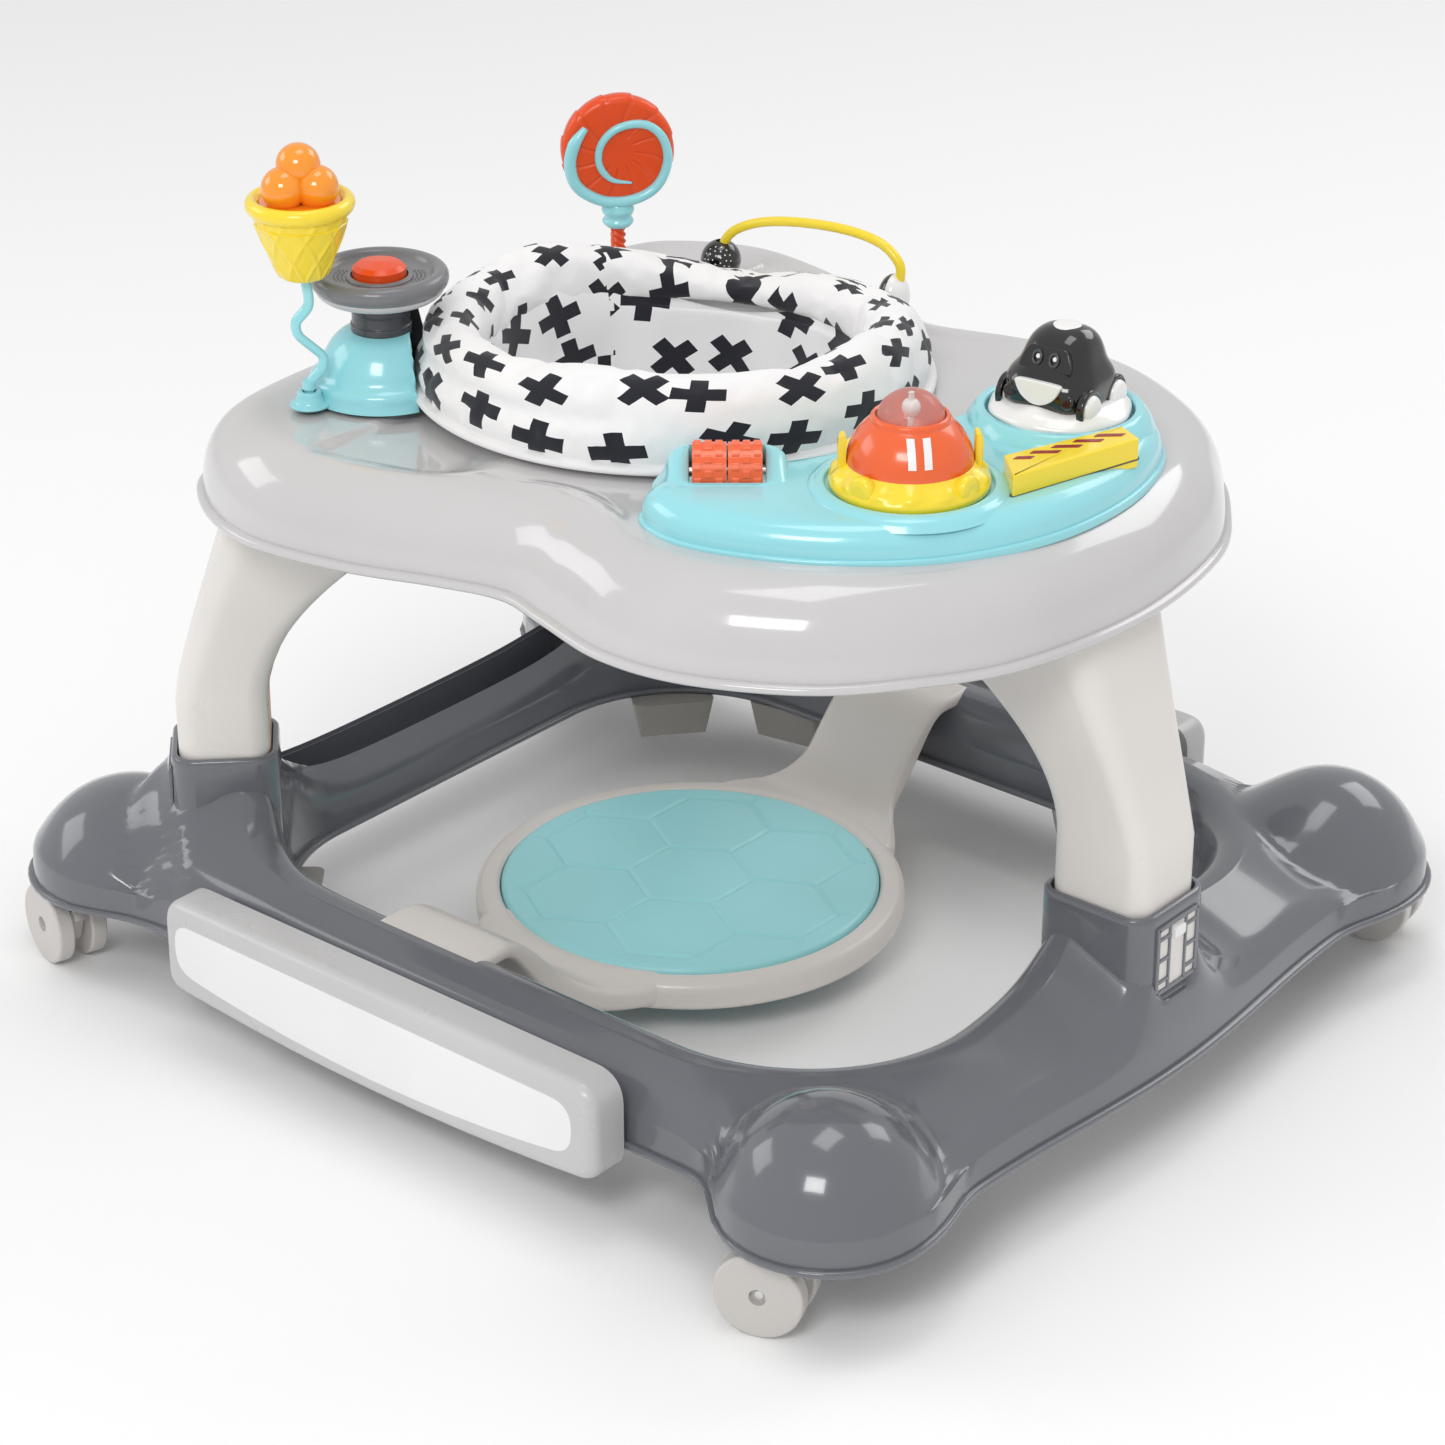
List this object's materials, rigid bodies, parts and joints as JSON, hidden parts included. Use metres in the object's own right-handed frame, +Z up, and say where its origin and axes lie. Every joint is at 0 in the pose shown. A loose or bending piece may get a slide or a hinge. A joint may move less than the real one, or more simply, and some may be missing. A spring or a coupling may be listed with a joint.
{
  "type": "baby walker",
  "caption": "Ring base on swivel casters with a height-adjustable toy tray, a swivel fabric seat, a foot pad and drop-down rocker bars.",
  "frame": {"origin": "on the floor, under the middle of the object's bounding box", "axes": "+Z up, +X the way the child faces (towards the toy console), +Y to the child's left"},
  "size_m": [0.7119, 0.6361, 0.541],
  "materials": {
    "base_grey": "gloss",
    "grip_grey": "matte",
    "panel_grey": "satin",
    "inlay_white": "satin",
    "tray_grey": "gloss",
    "leg_white": "satin",
    "cyan": "gloss",
    "steel": "brushed",
    "neck_dark": "satin",
    "yellow": "gloss",
    "white": "gloss",
    "seat_fabric": "woven print",
    "pad_ring_grey": "satin",
    "pad_cyan": "satin",
    "wheel_grey": "satin",
    "orange_red": "gloss",
    "orange": "gloss",
    "black": "gloss",
    "dark_red": "gloss",
    "scoop_orange": "gloss",
    "caster_grey": "satin",
    "clear": "clear plastic"
  },
  "bodies": {
    "base": {"base_shell": "base_grey", "grip_pads": "grip_grey"},
    "rocker_right": {"rocker_bar_right": "panel_grey", "rocker_inlay_right": "inlay_white"},
    "rocker_left": {"rocker_bar_left": "panel_grey", "rocker_inlay_left": "inlay_white"},
    "caster_front_right": {"caster_fork_front_right": "caster_grey"},
    "wheels_front_right": {"caster_wheels_front_right": "caster_grey", "caster_axle_front_right": "steel"},
    "caster_front_left": {"caster_fork_front_left": "caster_grey"},
    "wheels_front_left": {"caster_wheels_front_left": "caster_grey", "caster_axle_front_left": "steel"},
    "caster_rear_right": {"caster_fork_rear_right": "caster_grey"},
    "wheels_rear_right": {"caster_wheels_rear_right": "caster_grey", "caster_axle_rear_right": "steel"},
    "caster_rear_left": {"caster_fork_rear_left": "caster_grey"},
    "wheels_rear_left": {"caster_wheels_rear_left": "caster_grey", "caster_axle_rear_left": "steel"},
    "tray": {"tray_shell": "tray_grey", "leg_front": "leg_white", "leg_rear_right": "leg_white", "leg_rear_left": "leg_white", "seat_collar": "tray_grey", "console_shell": "cyan", "roller_axle": "steel", "battery_door": "tray_grey", "toy_sockets": "cyan", "wheel_mound": "cyan", "wheel_neck": "neck_dark", "arch_bar": "yellow", "arch_pod": "white"},
    "height_button_front": {"height_button_front": "white"},
    "height_button_rear_right": {"height_button_rear_right": "white"},
    "height_button_rear_left": {"height_button_rear_left": "white"},
    "seat": {"seat_ring": "white", "seat_pad": "seat_fabric", "seat_sling": "seat_fabric"},
    "foot_pad": {"foot_pad_ring": "pad_ring_grey", "foot_pad_plate": "pad_cyan"},
    "steering": {"steering_wheel": "wheel_grey", "steering_underside": "panel_grey"},
    "horn": {"horn_button": "orange_red"},
    "roller_right": {"roller_right": "orange"},
    "roller_left": {"roller_left": "orange"},
    "dome_toy": {"dome_skirt": "yellow", "dome_shell": "orange", "dome_window": "clear", "dome_beads": "white"},
    "car_toy": {"car_skirt": "white", "car_body": "black"},
    "key": {"piano_key": "yellow", "piano_key_strips": "dark_red"},
    "ice_cream": {"ice_cream_stem": "cyan", "ice_cream_cone": "yellow", "ice_cream_scoops": "scoop_orange"},
    "lollipop": {"lollipop_stem": "orange_red", "lollipop_swirl": "cyan", "lollipop_disc": "orange_red"},
    "arch_ball": {"arch_ball": "black"}
  },
  "joints": [
    {"name": "rocker_right_drop", "type": "slide", "parent": "base", "child": "rocker_right", "axis": [0, 0, -1], "range_m": [0, 0.042]},
    {"name": "rocker_left_drop", "type": "slide", "parent": "base", "child": "rocker_left", "axis": [0, 0, -1], "range_m": [0, 0.042]},
    {"name": "caster_swivel_front_right", "type": "hinge", "parent": "base", "child": "caster_front_right", "pos_m": [0.294, -0.29, 0.07], "axis": [0, 0, 1], "continuous": true},
    {"name": "wheel_spin_front_right", "type": "hinge", "parent": "caster_front_right", "child": "wheels_front_right", "pos_m": [0.28272, -0.2941, 0.026], "axis": [0.342, -0.9397, 0], "continuous": true},
    {"name": "caster_swivel_front_left", "type": "hinge", "parent": "base", "child": "caster_front_left", "pos_m": [0.294, 0.29, 0.07], "axis": [0, 0, 1], "continuous": true},
    {"name": "wheel_spin_front_left", "type": "hinge", "parent": "caster_front_left", "child": "wheels_front_left", "pos_m": [0.30582, 0.29208, 0.026], "axis": [-0.1736, 0.9848, 0], "continuous": true},
    {"name": "caster_swivel_rear_right", "type": "hinge", "parent": "base", "child": "caster_rear_right", "pos_m": [-0.302, -0.27, 0.07], "axis": [0, 0, 1], "continuous": true},
    {"name": "wheel_spin_rear_right", "type": "hinge", "parent": "caster_rear_right", "child": "wheels_rear_right", "pos_m": [-0.31354, -0.26669, 0.026], "axis": [-0.2756, -0.9613, 0], "continuous": true},
    {"name": "caster_swivel_rear_left", "type": "hinge", "parent": "base", "child": "caster_rear_left", "pos_m": [-0.302, 0.27, 0.07], "axis": [0, 0, 1], "continuous": true},
    {"name": "wheel_spin_rear_left", "type": "hinge", "parent": "caster_rear_left", "child": "wheels_rear_left", "pos_m": [-0.314, 0.27, 0.026], "axis": [0, -1, 0], "continuous": true},
    {"name": "tray_height", "type": "slide", "parent": "base", "child": "tray", "axis": [0, 0, 1], "range_m": [-0.028, 0]},
    {"name": "height_button_front_press", "type": "slide", "parent": "tray", "child": "height_button_front", "axis": [-1, 0, 0], "range_m": [0, 0.005], "stiffness_N_per_m": 300},
    {"name": "height_button_rear_right_press", "type": "slide", "parent": "tray", "child": "height_button_rear_right", "axis": [0.7071, 0.7071, 0], "range_m": [0, 0.005], "stiffness_N_per_m": 300},
    {"name": "height_button_rear_left_press", "type": "slide", "parent": "tray", "child": "height_button_rear_left", "axis": [0.7071, -0.7071, 0], "range_m": [0, 0.005], "stiffness_N_per_m": 300},
    {"name": "seat_swivel", "type": "hinge", "parent": "tray", "child": "seat", "pos_m": [-0.034, 0, 0.383], "axis": [0, 0, 1], "continuous": true},
    {"name": "foot_pad_lift", "type": "slide", "parent": "base", "child": "foot_pad", "axis": [0, 0, 1], "range_m": [0, 0.06]},
    {"name": "steering_turn", "type": "hinge", "parent": "tray", "child": "steering", "pos_m": [-0.16, -0.118, 0.44], "axis": [0, 0, 1], "continuous": true},
    {"name": "horn_press", "type": "slide", "parent": "steering", "child": "horn", "axis": [0, 0, -1], "range_m": [0, 0.003], "stiffness_N_per_m": 250},
    {"name": "roller_right_spin", "type": "hinge", "parent": "tray", "child": "roller_right", "pos_m": [0.112, -0.124, 0.401], "axis": [0.766, 0.6428, 0], "continuous": true},
    {"name": "roller_left_spin", "type": "hinge", "parent": "tray", "child": "roller_left", "pos_m": [0.112, -0.124, 0.401], "axis": [0.766, 0.6428, 0], "continuous": true},
    {"name": "dome_spin", "type": "hinge", "parent": "tray", "child": "dome_toy", "pos_m": [0.2, -0.073, 0.404], "axis": [0, 0, 1], "continuous": true},
    {"name": "car_press", "type": "slide", "parent": "tray", "child": "car_toy", "axis": [0, 0, -1], "range_m": [0, 0.004], "stiffness_N_per_m": 600},
    {"name": "key_press", "type": "slide", "parent": "tray", "child": "key", "axis": [0, 0, -1], "range_m": [0, 0.003], "stiffness_N_per_m": 400},
    {"name": "ice_cream_sway", "type": "hinge", "parent": "tray", "child": "ice_cream", "pos_m": [-0.172, -0.168, 0.386], "axis": [-0.6428, 0.766, 0], "range_deg": [-10, 6], "stiffness_Nm_per_rad": 3},
    {"name": "lollipop_sway", "type": "hinge", "parent": "tray", "child": "lollipop", "pos_m": [-0.181, 0.118, 0.386], "axis": [0.766, -0.6428, 0], "range_deg": [-10, 10], "stiffness_Nm_per_rad": 3},
    {"name": "arch_ball_spin", "type": "hinge", "parent": "tray", "child": "arch_ball", "pos_m": [-0.124, 0.152, 0.3946], "axis": [0, 0, 1], "continuous": true}
  ]
}
